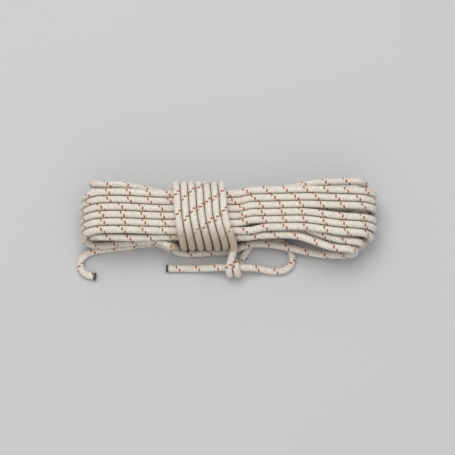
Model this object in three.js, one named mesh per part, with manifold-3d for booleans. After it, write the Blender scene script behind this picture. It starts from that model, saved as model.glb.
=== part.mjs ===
// A dynamic climbing rope, put away as a hank: long flat loops in two nested layers, drawn in at
// the waist by turns of the rope's own end, which is then hitched round itself in front.
//
// Millimetres. +X runs along the hank to the right, +Y to its back, +Z up. The rope lies on z = 0,
// and the origin is under the middle of the whole rope.

import * as THREE from 'three';
import Module from 'manifold-3d';
import { mergeVertices } from 'three/addons/utils/BufferGeometryUtils.js';

const wasm = await Module();
wasm.setup();

// ---------------------------------------------------------------- driving dimensions

const ROPE = 10.5;                  // diameter over the sheath
const HANK_LEFT = -217.5;           // outside of the left folds
const HANK_LENGTH = 441;            // over the folds at both ends
const HANK_Y = 18.2;                // the hank's axis lies behind the origin by this much
const INNER_COLUMNS = 8;            // loops side by side in the inner layer
const OUTER_COLUMNS = 6;            // loops side by side in the outer layer, over the middle ones

const COLUMN_STEP = 1.085 * ROPE;   // between loops that lie side by side
const ROW_STEP = 1.15 * ROPE;       // between the inner and the outer layer
const INNER_FOLD = 2 * ROPE;        // bend radius at the folds of the inner loops
const LEFT_TUCK = 0.76 * ROPE;      // the left folds are flatter: this much less along the hank
const REST = 0.4 * ROPE;            // height of a centre line that rests on the ground

const MARGIN_LEFT = 18;             // the loops stay drawn in this far before the first turn
const MARGIN_RIGHT = 26;            // and beyond the last one
const DRAW_LEFT = 80;               // length over which they draw in, left of the waist
const DRAW_KEPT = 60;               // they stay drawn in for this long, right of the waist
const DRAW_RIGHT = 70;              // and open up over this length
const OPEN_AFTER = 19;              // upper and lower runs part from here, right of the waist
const LIFT_LEFT = 49;               // the left end rises to the waist's height over this length
const LIFT_AFTER = 89;              // it keeps that height to here, right of the waist
const WAIST_STAGGER = 0.285 * ROPE; // alternate inner columns step up and down by this at the waist
const WAIST_HALF_GAP = 0.575 * ROPE; // the inner runs' height from the hank's axis at the waist
const OUTER_WAIST_STEP = 1.063 * ROPE; // between outer columns at the waist, which lie level
const OUTER_LIFT = 0.2 * ROPE;      // the outer layer stands this much further out there
const WAIST_SHIFT = -0.3 * ROPE;    // the waist is pulled forward a little
const OUTER_SHIFT = -0.33 * ROPE;   // the outer layer lies this much further forward at the left end

const SWINGS = [-0.1 * ROPE, 0.2 * ROPE]; // right of the waist the first column, and all others, lie here
const WEDGE_START = 2;              // this column and those behind it swing back first
const WEDGE_LENGTH = 12;            // over this length
const WEDGE_END = 34;               // the others have followed here, right of the waist
const SHEAVES_AFTER = 79;           // the right end parts into sheaves from here, right of the waist
const SHEAVES = [[4, 0.57 * ROPE], [7, 0.55 * ROPE]]; // first column, and the space in front of it
const FRONT_SHEAF = [2, 1];         // inner and outer columns in front of these form one more
const FRONT_SPACE = 1.0 * ROPE;     // with this space behind it
const SHEAVES_SHIFT = 0.46 * ROPE;  // and leans back by this
const FOLD_SETBACK = 17;            // the front loops end this much short at the right
const SETBACK_COLUMNS = 2.5;        // number of columns over which that setback fades out
const TAIL_STATIONS = [-155, -124];  // bends of the run that follows the last loop

const WRAP_TURNS = 7;
const WRAP_STEP = 1.065 * ROPE;     // from turn to turn along the hank
const WRAP_FIRST = -72;             // the first turn crosses the top here
const WRAP_SIDE_SPACE = 1.17 * ROPE; // from the outermost run's centre line to the turns'
const WRAP_TOP_SPACE = 1.55 * ROPE;  // and from the topmost
const WRAP_POWER = 2.8;             // 2 is an ellipse, more is squarer
const WRAP_LEAN = ROPE / 6;         // the turns lean to the right as they come down in front
const WRAP_FANS = [0.36 * ROPE, 1.03 * ROPE]; // and the first and the last by this much more there
const WRAP_FROM = -170;             // degrees round the waist: 0 back, 90 top, 180 front
const WRAP_TO = 160;                // the last turn ends here, at the front

const HITCH_TURNS = 2;
const HITCH_STEP = 1.06 * ROPE;
const HITCH_RADIUS = 1.045 * ROPE;  // of the turns' centre line, round the finishing end
const HITCH_X = 2.7;                // where the hitch starts
const HITCH_AHEAD = 2.82 * ROPE;    // its axis lies this far in front of the waist turns' line
const HITCH_FROM = 120;             // degrees, counted as on the waist
const HITCH_TO = 270;               // the hitch ends underneath

const SHEATH_BORE = 8.1;            // diameter of the bore that holds the core
const CORE_STRAND = 2.2;            // diameter of one twisted core strand
const CORE_RING = 2.6;              // radius of the ring of core strands round the middle one
const CORE_STRANDS = 6;             // strands in that ring

const SEAL_DIAMETER = 11.2;         // melted rope end
const SEAL_LENGTH = 3.6;
const SEAL_EDGE = 0.8;              // rounding of its rim

const JOINT_GAP = 0.3;              // between the faces of two pieces that meet
const LEAST_GAP = 0.4;              // that wound turns must keep from each other

const LOOP_SIDES = 6;
const TURN_STEPS = 24;
const FOLD_STEPS = 5;               // per fold of a loop, the rest of its 24 steps are on the runs
const LEFT_STEPS = 2;               // left of the waist
const RIGHT_STEPS = 4;              // right of it
const RIGHT_CROWDING = 1.3;         // those stand closer near the waist
const CLIMB_STEPS = 4;              // left of the waist, on the run that climbs a layer
const CORD_SIDES = 8;
const CORD_STEP = 2.2 * ROPE;       // length of a step on a free stretch

// ---------------------------------------------------------------- materials

const sheathFinish = new THREE.MeshStandardMaterial({ color: 0xd9d3c3, roughness: 0.85, metalness: 0 });
const coreFinish = new THREE.MeshStandardMaterial({ color: 0xf3f1ea, roughness: 0.7, metalness: 0 });
const sealFinish = new THREE.MeshStandardMaterial({ color: 0x2b3038, roughness: 0.5, metalness: 0 });

// ---------------------------------------------------------------- small helpers

const { degToRad, lerp, smoothstep, clamp } = THREE.MathUtils;
const point = (x, y, z) => new THREE.Vector3(x, y, z);

// A line cut back at both ends by half the gap to its neighbours.
const shortened = (points) => {
  const cut = JOINT_GAP / 2;
  const ends = [points[0].clone(), points.at(-1).clone()];
  ends[0].add(points[1].clone().sub(points[0]).setLength(cut));
  ends[1].add(points.at(-2).clone().sub(points.at(-1)).setLength(cut));
  return [ends[0], ...points.slice(1, -1), ends[1]];
};

// The line goes straight on for one rope diameter beyond each end.
const withStraightEnds = (points) => {
  const before = points[0].clone().sub(points[1]).setLength(ROPE).add(points[0]);
  const after = points.at(-1).clone().sub(points.at(-2)).setLength(ROPE).add(points.at(-1));
  return [before, ...points, after];
};

// A closed tube of straight steps round a list of points. `across` is a direction that the line
// never runs along, so the section doesn't twist.
function tubeGeometry(points, across) {
  const positions = [];
  points.forEach((centre, i) => {
    const before = points[Math.max(i - 1, 0)];
    const after = points[Math.min(i + 1, points.length - 1)];
    const along = after.clone().sub(before).normalize();
    const side = across.clone().addScaledVector(along, -across.dot(along)).normalize();
    const up = along.clone().cross(side);
    for (let k = 0; k < LOOP_SIDES; k += 1) {
      const angle = (2 * Math.PI * (k + 0.5)) / LOOP_SIDES;
      const corner = centre.clone()
        .addScaledVector(side, (ROPE / 2) * Math.cos(angle))
        .addScaledVector(up, (ROPE / 2) * Math.sin(angle));
      positions.push(corner.x, corner.y, corner.z);
    }
  });
  const index = [];
  for (let i = 0; i < points.length - 1; i += 1) {
    for (let k = 0; k < LOOP_SIDES; k += 1) {
      const a = i * LOOP_SIDES + k;
      const b = i * LOOP_SIDES + ((k + 1) % LOOP_SIDES);
      index.push(a, b, b + LOOP_SIDES, a, b + LOOP_SIDES, a + LOOP_SIDES);
    }
  }
  const last = (points.length - 1) * LOOP_SIDES;
  for (let k = 1; k < LOOP_SIDES - 1; k += 1) {
    index.push(0, k + 1, k, last, last + k, last + k + 1);
  }
  const geometry = new THREE.BufferGeometry();
  geometry.setAttribute('position', new THREE.Float32BufferAttribute(positions, 3));
  geometry.setIndex(index);
  return geometry;
}

function toSolid(geometry) {
  const bare = geometry.clone();
  bare.deleteAttribute('normal');
  bare.deleteAttribute('uv');
  const merged = mergeVertices(bare, 1e-4);
  return new wasm.Manifold(new wasm.Mesh({
    numProp: 3,
    vertProperties: new Float32Array(merged.attributes.position.array),
    triVerts: new Uint32Array(merged.index.array),
  }));
}

function fromSolid(solid) {
  const { vertProperties, triVerts, numProp } = solid.getMesh();
  const positions = [];
  for (let i = 0; i < vertProperties.length; i += numProp) {
    positions.push(vertProperties[i], vertProperties[i + 1], vertProperties[i + 2]);
  }
  const geometry = new THREE.BufferGeometry();
  geometry.setAttribute('position', new THREE.Float32BufferAttribute(positions, 3));
  geometry.setIndex([...triVerts]);
  return geometry;
}

// What would reach below the ground is cut off flat.
function cutAtGround(geometry) {
  const depth = 2 * ROPE;
  const ground = new THREE.BoxGeometry(2 * HANK_LENGTH, 2 * HANK_LENGTH, depth);
  ground.translate(0, 0, -depth / 2);
  return fromSolid(toSolid(geometry).subtract(toSolid(ground)));
}

// ---------------------------------------------------------------- the hank's loops

const MIDDLE_COLUMN = (INNER_COLUMNS - 1) / 2;
const WAIST_COLUMN = Math.sqrt(COLUMN_STEP ** 2 - (2 * WAIST_STAGGER) ** 2);
const WRAP_HALF_WIDTH = MIDDLE_COLUMN * WAIST_COLUMN + WRAP_SIDE_SPACE;
const WRAP_HALF_HEIGHT = WAIST_HALF_GAP + ROW_STEP + OUTER_LIFT + WRAP_TOP_SPACE;
const WAIST_START = WRAP_FIRST - MARGIN_LEFT;
const WAIST_END = WRAP_FIRST + (WRAP_TURNS - 1) * WRAP_STEP + MARGIN_RIGHT;

const OUTER_FOLD = INNER_FOLD + ROW_STEP;
const END_Z = REST + OUTER_FOLD;            // height of the hank's axis at its ends
const WAIST_Z = REST + WRAP_HALF_HEIGHT;    // and at the waist
const LEFT_FOLD = HANK_LEFT + ROPE / 2 + OUTER_FOLD - LEFT_TUCK;
const RIGHT_FOLD = HANK_LEFT + HANK_LENGTH - ROPE / 2 - OUTER_FOLD;

const foldRadius = (layer) => INNER_FOLD + layer * ROW_STEP;

// The right fold of the loop in a column has its middle here.
function rightFold(column) {
  const share = clamp(1 - column / SETBACK_COLUMNS, 0, 1);
  return RIGHT_FOLD - FOLD_SETBACK * share ** 2;
}

// 1 at the waist, falling to 0 over the given lengths to both sides.
const window = (x, leftEnd, leftFull, rightFull, rightEnd) => (
  smoothstep(x, leftEnd, leftFull) * (1 - smoothstep(x, rightFull, rightEnd))
);
const drawnIn = (x) => window(
  x, WAIST_START - DRAW_LEFT, WAIST_START, WAIST_END + DRAW_KEPT, WAIST_END + DRAW_KEPT + DRAW_RIGHT,
);

// How far the columns are shifted along y: forward at the waist, then back, and at the right end
// apart in sheaves.
function columnShift(layer, column, x) {
  const isBehind = column >= WEDGE_START;
  const swung = smoothstep(
    x, WAIST_END + (isBehind ? 0 : WEDGE_LENGTH), WAIST_END + (isBehind ? WEDGE_LENGTH : WEDGE_END),
  );
  const parted = smoothstep(x, WAIST_END + SHEAVES_AFTER, rightFold(column));
  const front = column < FRONT_SHEAF[layer] ? FRONT_SPACE : 0;
  const space = SHEAVES.reduce((sum, [start, gap]) => sum + (column < start ? gap : 0), front);
  const waist = WAIST_SHIFT * smoothstep(x, WAIST_START - DRAW_LEFT, WAIST_START);
  return lerp(lerp(waist, SWINGS[Math.min(column, 1)], swung), SHEAVES_SHIFT - space, parted);
}

// Columns stand one step apart. At the waist alternate inner ones step up and down, and they move
// together so that neighbours keep that distance.
function columnY(layer, column, x) {
  const drawn = drawnIn(x);
  const step = layer === 0
    ? Math.sqrt(COLUMN_STEP ** 2 - (2 * WAIST_STAGGER * drawn) ** 2)
    : lerp(COLUMN_STEP, OUTER_WAIST_STEP, drawn);
  const forward = layer * OUTER_SHIFT * (1 - smoothstep(x, LEFT_FOLD, WAIST_START));
  return HANK_Y + (column - MIDDLE_COLUMN) * step + columnShift(layer, column, x) + forward;
}

// Height of a run. `level` is 1 for the upper run of a loop and -1 for the lower one.
function runZ(layer, level, column, x) {
  const fold = rightFold(column);
  const drawn = drawnIn(x);
  const closed = window(x, LEFT_FOLD, WAIST_START, WAIST_END + OPEN_AFTER, fold);
  const lifted = window(x, LEFT_FOLD, LEFT_FOLD + LIFT_LEFT, WAIST_END + LIFT_AFTER, fold);
  const stagger = (1 - layer) * WAIST_STAGGER * drawn * (column % 2 === 0 ? 1 : -1);
  const halfGap = lerp(INNER_FOLD, WAIST_HALF_GAP, closed) + layer * (ROW_STEP + OUTER_LIFT * drawn);
  return lerp(END_Z, WAIST_Z, lifted) + stagger + level * halfGap;
}

const runPoint = (layer, level, column, x) => (
  point(x, columnY(layer, column, x), runZ(layer, level, column, x))
);

// Places along a run where it bends: between the left fold and the waist, and from the waist to
// the right fold.
const leftStations = (steps) => (
  Array.from({ length: steps }, (_, i) => lerp(LEFT_FOLD, WAIST_START, (i + 1) / steps))
);
const rightStations = (column) => (
  Array.from({ length: RIGHT_STEPS }, (_, i) => (
    lerp(WAIST_END, rightFold(column), (i / RIGHT_STEPS) ** RIGHT_CROWDING)
  ))
);

// The run on which the rope climbs from the inner to the outer layer. It comes from one column
// beyond the last inner one, drops to the outer row, steps in under the last inner column and
// rises to its own place in the stagger only when it is past it.
function climbPoint(x) {
  const share = (x - LEFT_FOLD) / (WAIST_START - LEFT_FOLD);
  const drop = smoothstep(share, 0, 0.3);
  const stepIn = smoothstep(share, 0.2, 1);
  const rise = Math.max(2 * stepIn - 1, 0) ** 2;
  const column = INNER_COLUMNS - 1;
  const y = lerp(columnY(0, column + 1, x), columnY(1, column - 1, x), stepIn);
  const dropped = lerp(runZ(0, -1, column, x), runZ(1, -1, column, x), drop);
  return point(x, y, lerp(dropped, runZ(1, -1, column - 1, x), rise));
}

// Half a turn at the right end, from the lower run up to the upper one.
function rightTurn(layer, column) {
  const radius = foldRadius(layer);
  const x = rightFold(column);
  return Array.from({ length: FOLD_STEPS + 1 }, (_, i) => {
    const angle = Math.PI * (i / FOLD_STEPS - 0.5);
    const y = columnY(layer, column, x);
    return point(x + radius * Math.cos(angle), y, END_Z + radius * Math.sin(angle));
  });
}

// Half a turn at the left end, from the upper run down to the next loop's lower run, which lies
// one column on. The last turn ends further in, at the height of the inner layer.
function leftTurn(layer, column, nextColumn, endRadius) {
  return Array.from({ length: FOLD_STEPS + 1 }, (_, i) => {
    const share = i / FOLD_STEPS;
    const angle = Math.PI * (0.5 + share);
    const radius = lerp(foldRadius(layer), endRadius, share ** 4);
    const y = lerp(columnY(layer, column, LEFT_FOLD), columnY(layer, nextColumn, LEFT_FOLD), share);
    const x = LEFT_FOLD + (radius - LEFT_TUCK) * Math.cos(angle);
    return point(x, y, END_Z + radius * Math.sin(angle));
  });
}

// The loops as [layer, column]: the inner layer from the front to the back, then the outer layer
// from the back to the front.
function loopOrder() {
  const order = [];
  for (let column = 0; column < INNER_COLUMNS; column += 1) order.push([0, column]);
  const firstOuter = (INNER_COLUMNS - OUTER_COLUMNS) / 2;
  for (let column = firstOuter + OUTER_COLUMNS - 1; column >= firstOuter; column -= 1) {
    order.push([1, column]);
  }
  return order;
}

// The whole winding. It starts at the right fold of the first loop. After the last loop it runs
// on in the place that the first loop's lower run leaves free, to just before the waist.
function hankLine() {
  const order = loopOrder();
  const line = [];
  order.forEach(([layer, column], n) => {
    const right = rightStations(column);
    if (n > 0) {
      const climbs = order[n - 1][0] !== layer;
      if (climbs) line.push(...leftStations(CLIMB_STEPS).map(climbPoint));
      const left = climbs ? [] : leftStations(LEFT_STEPS);
      line.push(...[...left, ...right].map((x) => runPoint(layer, -1, column, x)));
    }
    line.push(...rightTurn(layer, column));
    const back = [...leftStations(LEFT_STEPS), ...right].toReversed();
    line.push(...back.map((x) => runPoint(layer, 1, column, x)));

    const isLast = n === order.length - 1;
    const nextColumn = layer === 0 ? column + 1 : column - 1;
    line.push(...leftTurn(layer, column, nextColumn, isLast ? INNER_FOLD : foldRadius(layer)));
  });
  line.push(...TAIL_STATIONS.map((x) => runPoint(0, -1, 0, x)));
  return withStraightEnds(line);
}

// ---------------------------------------------------------------- turns round the waist

// The turns' outline is a superellipse: both coordinates follow the sine and cosine of the angle,
// raised to 2 / power.
function wrapPoint(turnAngle) {
  const angle = degToRad(turnAngle);
  const rounded = (value) => Math.sign(value) * Math.abs(value) ** (2 / WRAP_POWER);
  const share = clamp((turnAngle - 180) / (360 * (WRAP_TURNS - 1)), 0, 1);
  const fan = lerp(...WRAP_FANS, share) * Math.max(-Math.cos(angle), 0);
  return point(
    WRAP_FIRST + (WRAP_STEP * (turnAngle - 90)) / 360 - WRAP_LEAN * Math.cos(angle) + fan,
    HANK_Y + WAIST_SHIFT + WRAP_HALF_WIDTH * rounded(Math.cos(angle)),
    WAIST_Z + WRAP_HALF_HEIGHT * rounded(Math.sin(angle)),
  );
}

const HITCH_Y = -WRAP_HALF_WIDTH - HITCH_AHEAD;         // from the hank's axis
const HITCH_Z = ROPE / 2 + HITCH_RADIUS + LEAST_GAP;    // its turns pass just above the ground

function hitchPoint(turnAngle) {
  const angle = degToRad(turnAngle);
  return point(
    HITCH_X + (HITCH_STEP * (turnAngle - HITCH_FROM)) / 360,
    HANK_Y + HITCH_Y + HITCH_RADIUS * Math.cos(angle),
    HITCH_Z + HITCH_RADIUS * Math.sin(angle),
  );
}
function turnsLine(pointAt, from, to) {
  const steps = Math.round((TURN_STEPS * (to - from)) / 360);
  const line = Array.from({ length: steps + 1 }, (_, i) => pointAt(lerp(from, to, i / steps)));
  return withStraightEnds(line);
}

// ---------------------------------------------------------------- free stretches

// A smooth curve through the end of one piece, the points of this stretch and the start of the
// next piece. Its first and last steps carry on straight from its neighbours.
function stretchCurve(previous, points, next) {
  const placed = points.map(([x, y, z]) => point(x, HANK_Y + y, z));
  const line = [...placed];
  if (previous) {
    const ahead = previous.at(-1).clone().sub(previous.at(-2)).setLength(JOINT_GAP);
    const start = previous.at(-1).clone().add(ahead);
    line.unshift(start, start.clone().add(ahead.setLength(ROPE / 2)));
  }
  if (next) {
    const back = next[0].clone().sub(next[1]).setLength(JOINT_GAP);
    const end = next[0].clone().add(back);
    line.push(end.clone().add(back.clone().setLength(ROPE / 2)), end);
  }
  return new THREE.CatmullRomCurve3(line, false, 'centripetal');
}

// A polygon with a corner on the circle, as a shape or as a hole in one.
function polygon(Kind, diameter, sides, x = 0, y = 0) {
  const corners = Array.from({ length: sides }, (_, k) => {
    const angle = (2 * Math.PI * (k + 0.5)) / sides;
    return new THREE.Vector2(x + (diameter / 2) * Math.cos(angle), y + (diameter / 2) * Math.sin(angle));
  });
  return new Kind(corners);
}

function alongCurve(shape, curve) {
  const steps = Math.ceil(curve.getLength() / CORD_STEP);
  return new THREE.ExtrudeGeometry(shape, { steps, extrudePath: curve, bevelEnabled: false });
}

// The start of the rope: from its sealed end on the ground, along the foot of the hank, out in a
// slack arc below the waist turns and on as the first loop's lower run.
const STARTING_END = [
  [-198, -86.5, 5.7], [-206, -85.9, 5.6], [-214, -81, 5.5], [-219, -71.5, 5.5], [-217.5, -61, 5.5],
  [-209, -52.4, 5.5], [-196, -48, 5.5], [-180, -45, 5.4], [-162, -43, 5.4], [-145, -40.6, 5.4],
  [-128, -37.8, 5.4], [-112, -36, 5.4], [-98, -37.4, 5.5], [-85, -44.6, 5.5], [-72, -50.6, 5.5],
  [-54, -52.4, 5.5], [-36, -51.2, 5.5], [-18, -49.7, 5.5], [-4, -49.6, 5.5], [8, -48.9, 6.6],
  [18, -44.6, 12], [30, -41, 16.6], [45, -39.6, 17.4], [61, -40.4, 17.6], [85, -44.4, 17.6],
  [110, -49.6, 16.2], [135, -54.4, 13.6],
];

// From the last loop to the first turn round the waist.
const LEAD = [[-99, -39.9, 37.4], [-91, -45.6, 41], [-82.5, -50.6, 44.6]];

// From the last turn round the waist, forward and down to the hitch.
const TIE_OFF = [[11, -54, 45], [8.2, -64, 36]];

// From under the hitch back under the hank, round and out again on the right, and back along the
// ground to the hitch.
const SLACK_BIGHT = [
  [24, -57, 5.5], [31, -45.5, 5.5], [39.5, -34.5, 5.5], [49.5, -27.5, 5.5], [61, -25.5, 5.5],
  [73.5, -28, 5.5], [84.5, -35, 5.5], [93, -45, 5.5], [97.5, -56, 5.5], [97, -67, 5.5],
  [90, -75.5, 5.5], [78, -79.2, 5.5], [64, -78.6, 5.5], [52, -76.5, 8], [41, -75.6, 12.5],
];

// Through the hitch and out to the left, where the rope ends.
const FINISHING_END = [
  [27, HITCH_Y, HITCH_Z], [15, HITCH_Y, HITCH_Z], [3, HITCH_Y, HITCH_Z], [-9, HITCH_Y, HITCH_Z],
  [-21, -75.2, 13], [-34, -75, 8], [-50, -74.7, 5.9], [-68, -74.6, 5.7], [-87, -74.6, 5.7],
];

// ---------------------------------------------------------------- sealed ends

// A short melted plug beyond the end of a line: a disc with a rounded rim, square to the line.
function sealGeometry(end, inside) {
  const outward = end.clone().sub(inside).normalize();
  const radius = SEAL_DIAMETER / 2;
  const profile = [new THREE.Vector2(0, 0), new THREE.Vector2(radius - SEAL_EDGE / 2, 0)];
  profile.push(new THREE.Vector2(radius, SEAL_EDGE / 2));
  profile.push(new THREE.Vector2(radius, SEAL_LENGTH - SEAL_EDGE));
  profile.push(new THREE.Vector2(radius - SEAL_EDGE, SEAL_LENGTH));
  profile.push(new THREE.Vector2(0, SEAL_LENGTH));
  const geometry = new THREE.LatheGeometry(profile, TURN_STEPS);
  geometry.applyQuaternion(new THREE.Quaternion().setFromUnitVectors(point(0, 1, 0), outward));
  const foot = end.clone().addScaledVector(outward, JOINT_GAP);
  return geometry.translate(foot.x, foot.y, foot.z);
}

// ---------------------------------------------------------------- least gap of the wound pieces

// Points every few millimetres along a line, with how far along it each one lies.
function sampled(line) {
  const spacing = ROPE / 4;
  const samples = [];
  let travelled = 0;
  for (let i = 0; i < line.length - 1; i += 1) {
    const length = line[i].distanceTo(line[i + 1]);
    const count = Math.ceil(length / spacing);
    for (let k = 0; k < count; k += 1) {
      const at = line[i].clone().lerp(line[i + 1], k / count);
      samples.push({ at, along: travelled + (length * k) / count });
    }
    travelled += length;
  }
  return samples;
}

// The least distance between surfaces of parts of one line that are some diameters apart along it.
function leastGap(line) {
  const samples = sampled(line);
  let least = Infinity;
  samples.forEach((a, i) => {
    for (let j = i + 1; j < samples.length; j += 1) {
      const b = samples[j];
      if (b.along - a.along > 3 * ROPE) least = Math.min(least, a.at.distanceTo(b.at));
    }
  });
  return least - ROPE;
}

// ---------------------------------------------------------------- the rope

const hank = hankLine();
const wraps = turnsLine(wrapPoint, WRAP_FROM, WRAP_TO + 360 * (WRAP_TURNS - 1));
const hitch = turnsLine(hitchPoint, HITCH_FROM, HITCH_TO + 360 * (HITCH_TURNS - 1));

for (const [name, line] of Object.entries({ hank, wraps, hitch })) {
  const gap = leastGap(line);
  const verdict = gap > LEAST_GAP ? 'clear' : 'TOO CLOSE';
  console.log(`least gap of the ${name} to itself: ${gap.toFixed(3)} mm, ${verdict}`);
}

const group = new THREE.Group();

function add(name, geometry, material) {
  const mesh = new THREE.Mesh(geometry, material);
  mesh.name = name;
  group.add(mesh);
}

const alongX = point(1, 0, 0);
const alongY = point(0, 1, 0);
add('hank_loops', cutAtGround(tubeGeometry(shortened(hank), alongY)), sheathFinish);
add('waist_wraps', cutAtGround(tubeGeometry(shortened(wraps), alongX)), sheathFinish);
add('hitch_turns', cutAtGround(tubeGeometry(shortened(hitch), alongX)), sheathFinish);

const rope = polygon(THREE.Shape, ROPE, CORD_SIDES);
const startCurve = stretchCurve(null, STARTING_END, hank);
const finishCurve = stretchCurve(null, FINISHING_END, null);
const finishStart = FINISHING_END.slice(0, 2).map(([x, y, z]) => point(x, HANK_Y + y, z));
for (const [name, curve] of Object.entries({
  starting_end: startCurve,
  lead_to_wraps: stretchCurve(hank, LEAD, wraps),
  tie_off: stretchCurve(wraps, TIE_OFF, hitch),
  slack_bight: stretchCurve(hitch, SLACK_BIGHT, finishStart),
})) {
  add(name, cutAtGround(alongCurve(rope, curve)), sheathFinish);
}

const sheath = polygon(THREE.Shape, ROPE, CORD_SIDES);
sheath.holes.push(polygon(THREE.Path, SHEATH_BORE, CORD_SIDES));
add('finishing_end', alongCurve(sheath, finishCurve), sheathFinish);
for (let k = 0; k <= CORE_STRANDS; k += 1) {
  const angle = (2 * Math.PI * k) / CORE_STRANDS;
  const ring = k === CORE_STRANDS ? 0 : CORE_RING;
  const strand = polygon(
    THREE.Shape, CORE_STRAND, LOOP_SIDES, ring * Math.cos(angle), ring * Math.sin(angle),
  );
  add(`core_strand_${k + 1}`, alongCurve(strand, finishCurve), coreFinish);
}

add('start_seal', sealGeometry(startCurve.points[0], startCurve.points[1]), sealFinish);
add('finish_seal', sealGeometry(finishCurve.points.at(-1), finishCurve.points.at(-2)), sealFinish);

export default group;
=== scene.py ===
"""A dynamic climbing rope put away as a hank: long flat loops in two nested layers, drawn in at the
waist by turns of the rope's own end, which is then hitched round itself in front.

Metres. +X runs along the hank to the right, +Y to its back, +Z up. The rope lies on z = 0.
"""

import bpy
import numpy as np
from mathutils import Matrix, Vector


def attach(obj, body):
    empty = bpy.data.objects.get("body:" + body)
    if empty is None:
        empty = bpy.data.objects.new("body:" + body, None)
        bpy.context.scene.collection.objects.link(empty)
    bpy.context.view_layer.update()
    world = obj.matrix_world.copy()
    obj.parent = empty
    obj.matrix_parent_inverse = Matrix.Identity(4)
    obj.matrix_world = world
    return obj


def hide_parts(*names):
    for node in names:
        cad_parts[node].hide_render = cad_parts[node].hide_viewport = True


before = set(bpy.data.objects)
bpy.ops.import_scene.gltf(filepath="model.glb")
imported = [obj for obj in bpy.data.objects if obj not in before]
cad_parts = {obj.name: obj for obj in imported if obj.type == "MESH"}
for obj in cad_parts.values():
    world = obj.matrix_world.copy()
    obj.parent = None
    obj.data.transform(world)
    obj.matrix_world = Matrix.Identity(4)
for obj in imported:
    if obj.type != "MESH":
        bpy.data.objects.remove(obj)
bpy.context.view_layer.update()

# ---------------------------------------------------------------- camera

PHOTO_WIDTH = 455  # pixels
PIXEL = 0.0015  # size of a pixel of the photograph at the hank
CAMERA_ELEVATION = np.radians(75)
CAMERA_DISTANCE = 2.6
SENSOR = 36.0
FAR_CLIP = 50.0
AIM = (0.0008, 0.0082, 0.0)  # the point that the middle of the photograph looks at
TO_CAMERA = np.array((0.0, -np.cos(CAMERA_ELEVATION), np.sin(CAMERA_ELEVATION)))
PICTURE_UP = np.array((0.0, np.sin(CAMERA_ELEVATION), np.cos(CAMERA_ELEVATION)))


def place_camera():
    """Looks along +Y and down at the photograph's angle, with a long lens that gives each pixel of
    the photograph its real size at the hank."""
    lens = bpy.data.cameras.new("camera")
    lens.sensor_width = SENSOR
    lens.lens = SENSOR * CAMERA_DISTANCE / (PHOTO_WIDTH * PIXEL)
    lens.clip_end = FAR_CLIP
    camera = bpy.data.objects.new("camera", lens)
    back = Vector(TO_CAMERA)
    camera.location = Vector(AIM) + CAMERA_DISTANCE * back
    camera.rotation_euler = (-back).to_track_quat("-Z", "Y").to_euler()
    bpy.context.scene.collection.objects.link(camera)
    bpy.context.scene.camera = camera


def photo_row(points):
    """The row of the photograph, in pixels from its top, in which each point is seen. The lens is
    so long that perspective is left out."""
    return PHOTO_WIDTH / 2 - (points - np.array(AIM)) @ PICTURE_UP / PIXEL


# ---------------------------------------------------------------- sizes of the rope and its hank

ROPE = 0.0105  # diameter over the sheath
HANK_LEFT = -0.2175  # outside of the left folds
HANK_LENGTH = 0.441  # over the folds at both ends
HANK_Y = 0.0182  # the hank's axis lies behind the origin by this much
INNER_COLUMNS = 8  # loops side by side in the inner layer
OUTER_COLUMNS = 6  # and in the outer layer, over the middle ones

COLUMN_STEP = 1.085 * ROPE  # between loops that lie side by side
ROW_STEP = 1.15 * ROPE  # between the inner and the outer layer
INNER_FOLD = 2 * ROPE  # bend radius at the folds of the inner loops
LEFT_TUCK = 0.76 * ROPE  # the left folds are flatter: this much less along the hank
REST = 0.4 * ROPE  # height of a centre line that rests on the ground

MARGIN_LEFT = 0.018  # the loops stay drawn in this far before the first turn
MARGIN_RIGHT = 0.026  # and beyond the last one
DRAW_LEFT = 0.080  # length over which they draw in, left of the waist
DRAW_KEPT = 0.060  # they stay drawn in for this long, right of the waist
DRAW_RIGHT = 0.070  # and open up over this length
OPEN_AFTER = 0.019  # upper and lower runs part from here, right of the waist
LIFT_LEFT = 0.049  # the left end rises to the waist's height over this length
LIFT_AFTER = 0.089  # the hank keeps that height to here, right of the waist
WAIST_STAGGER = 0.285 * ROPE  # alternate inner columns step up and down by this at the waist
WAIST_HALF_GAP = 0.575 * ROPE  # the inner runs' height from the hank's axis at the waist
OUTER_WAIST_STEP = 1.063 * ROPE  # between outer columns at the waist, which lie level
OUTER_LIFT = 0.2 * ROPE  # the outer layer stands this much further out there
WAIST_SHIFT = -0.3 * ROPE  # the waist is pulled forward a little
OUTER_SHIFT = -0.33 * ROPE  # the outer layer lies this much further forward at the left end

SWINGS = (-0.1 * ROPE, 0.2 * ROPE)  # right of the waist the first column, and all others, lie here
WEDGE_START = 2  # this column and those behind it swing back first
WEDGE_LENGTH = 0.012  # over this length
WEDGE_END = 0.034  # the others have followed here, right of the waist
SHEAVES_AFTER = 0.079  # the right end parts into sheaves from here, right of the waist
SHEAVES = ((4, 0.57 * ROPE), (7, 0.55 * ROPE))  # first column, and the space in front of it
FRONT_SHEAF = (2, 1)  # inner and outer columns in front of these form one more
FRONT_SPACE = 1.0 * ROPE  # with this space behind it
SHEAVES_SHIFT = 0.46 * ROPE  # and the right end leans back by this
FOLD_SETBACK = 0.017  # the front loops end this much short at the right
SETBACK_COLUMNS = 2.5  # number of columns over which that setback fades out
TAIL = (-0.160, -0.114)  # the run that follows the last loop starts and ends here
CLIMB_DROP = (0, 0.3)  # shares of the climbing run over which it drops to the outer row
CLIMB_STEP_IN = (0.2, 1)  # and over which it steps in under the last inner column

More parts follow.
